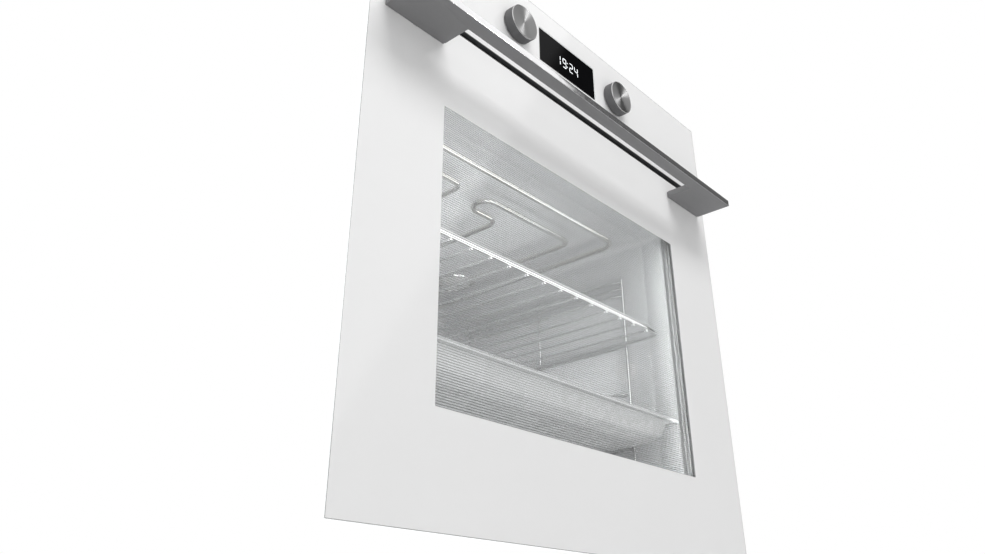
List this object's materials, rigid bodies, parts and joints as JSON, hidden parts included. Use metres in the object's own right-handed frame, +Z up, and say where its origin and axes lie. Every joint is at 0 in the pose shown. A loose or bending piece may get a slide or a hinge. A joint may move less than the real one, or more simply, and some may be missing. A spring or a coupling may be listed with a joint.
{
  "type": "wall oven",
  "caption": "Built-in wall oven with a white glass front, drop-down door with bar handle and window, control panel with knobs and display, wire shelf, tray and side racks.",
  "frame": {"origin": "on the surface that the oven stands on, under the middle of its bounding box", "axes": "+X to the right as seen from the front, +Y from the front to the back, +Z up"},
  "size_m": [0.595, 0.607, 0.598],
  "materials": {
    "white_glass": "back-painted white, polished face",
    "clear_glass": "clear, polished",
    "black_glass": "black, polished",
    "brushed_steel": "fine brushed and spun grain",
    "element_steel": "bright-drawn tube, heat tinted",
    "motor_steel": "plain",
    "chromed_wire": "bright chrome",
    "zinc_sheet": "galvanised, spangled",
    "enamel": "vitreous enamel, glossy",
    "aluminium": "satin",
    "black_plastic": "moulded, matt",
    "grey_plastic": "moulded, matt",
    "rubber": "heat-proof, matt",
    "mineral_wool": "fibrous blanket",
    "circuit_board": "laminate"
  },
  "bodies": {
    "oven": {"air_duct": "zinc_sheet", "base_plate": "zinc_sheet", "bottom_heating_element": "element_steel", "cavity_liner": "enamel", "control_panel_bracket": "grey_plastic", "control_panel_glass": "white_glass", "convection_fan_motor": "motor_steel", "cooling_fan_motor": "motor_steel", "cooling_motor_bracket": "zinc_sheet", "display_board": "circuit_board", "display_window": "black_glass", "door_gasket": "rubber", "fan_cover": "enamel", "front_frame": "enamel", "function_switch": "black_plastic", "grill_element": "element_steel", "heat_shield_plate": "zinc_sheet", "insulation_blanket": "mineral_wool", "lamp_bulb": "clear_glass", "lamp_housing": "zinc_sheet", "lamp_lens": "clear_glass", "left_hinge_arm": "zinc_sheet", "left_hinge_receiver": "motor_steel", "left_mounting_flange": "aluminium", "left_rack_nut": "chromed_wire", "left_side_panel": "zinc_sheet", "left_side_rack": "chromed_wire", "power_board": "circuit_board", "rear_panel": "zinc_sheet", "right_hinge_arm": "zinc_sheet", "right_hinge_receiver": "motor_steel", "right_mounting_flange": "aluminium", "right_rack_nut": "chromed_wire", "right_side_panel": "zinc_sheet", "right_side_rack": "chromed_wire", "ring_heating_element": "element_steel", "temperature_probe": "chromed_wire", "temperature_switch": "black_plastic", "terminal_block": "grey_plastic", "top_cover": "zinc_sheet", "top_heating_element": "element_steel"},
    "door": {"door_bottom_trim": "aluminium", "door_handle": "brushed_steel", "door_inner_glass": "clear_glass", "door_left_profile": "aluminium", "door_middle_glass": "clear_glass", "door_outer_glass": "white_glass", "door_right_profile": "aluminium", "door_top_trim": "black_plastic", "left_handle_spacer": "aluminium", "right_handle_spacer": "aluminium", "left_handle_bolt": "zinc_sheet", "right_handle_bolt": "zinc_sheet"},
    "function_knob": {"function_knob": "brushed_steel"},
    "temperature_knob": {"temperature_knob": "brushed_steel"},
    "wire_shelf": {"wire_shelf": "chromed_wire"},
    "baking_tray": {"baking_tray": "enamel"},
    "convection_fan": {"convection_fan": "zinc_sheet"},
    "cooling_fan": {"cooling_fan_wheel": "zinc_sheet"}
  },
  "joints": [
    {"name": "door_hinge", "type": "hinge", "parent": "oven", "child": "door", "pos_m": [0, -0.247, 0.019], "axis": [1, 0, 0], "range_deg": [0, 90], "stiffness_Nm_per_rad": 10, "springref_deg": -17.19},
    {"name": "function_knob_turn", "type": "hinge", "parent": "oven", "child": "function_knob", "pos_m": [-0.0935, -0.2555, 0.5428], "axis": [0, 1, 0], "continuous": true},
    {"name": "temperature_knob_turn", "type": "hinge", "parent": "oven", "child": "temperature_knob", "pos_m": [0.0935, -0.2555, 0.5428], "axis": [0, 1, 0], "range_deg": [0, 280]},
    {"name": "wire_shelf_slide", "type": "slide", "parent": "oven", "child": "wire_shelf", "axis": [0, -1, 0], "range_m": [0, 0.3]},
    {"name": "baking_tray_slide", "type": "slide", "parent": "oven", "child": "baking_tray", "axis": [0, -1, 0], "range_m": [0, 0.22]},
    {"name": "convection_fan_spin", "type": "hinge", "parent": "oven", "child": "convection_fan", "pos_m": [0, 0.1875, 0.252], "axis": [0, 1, 0], "continuous": true},
    {"name": "cooling_fan_spin", "type": "hinge", "parent": "oven", "child": "cooling_fan", "pos_m": [0, 0.1445, 0.457], "axis": [0, 0, 1], "continuous": true}
  ],
  "couplings": [
    {"joint": "wire_shelf_slide", "follows": "door_hinge", "m_per_rad": 0.19},
    {"joint": "baking_tray_slide", "follows": "door_hinge", "m_per_rad": 0.14}
  ]
}
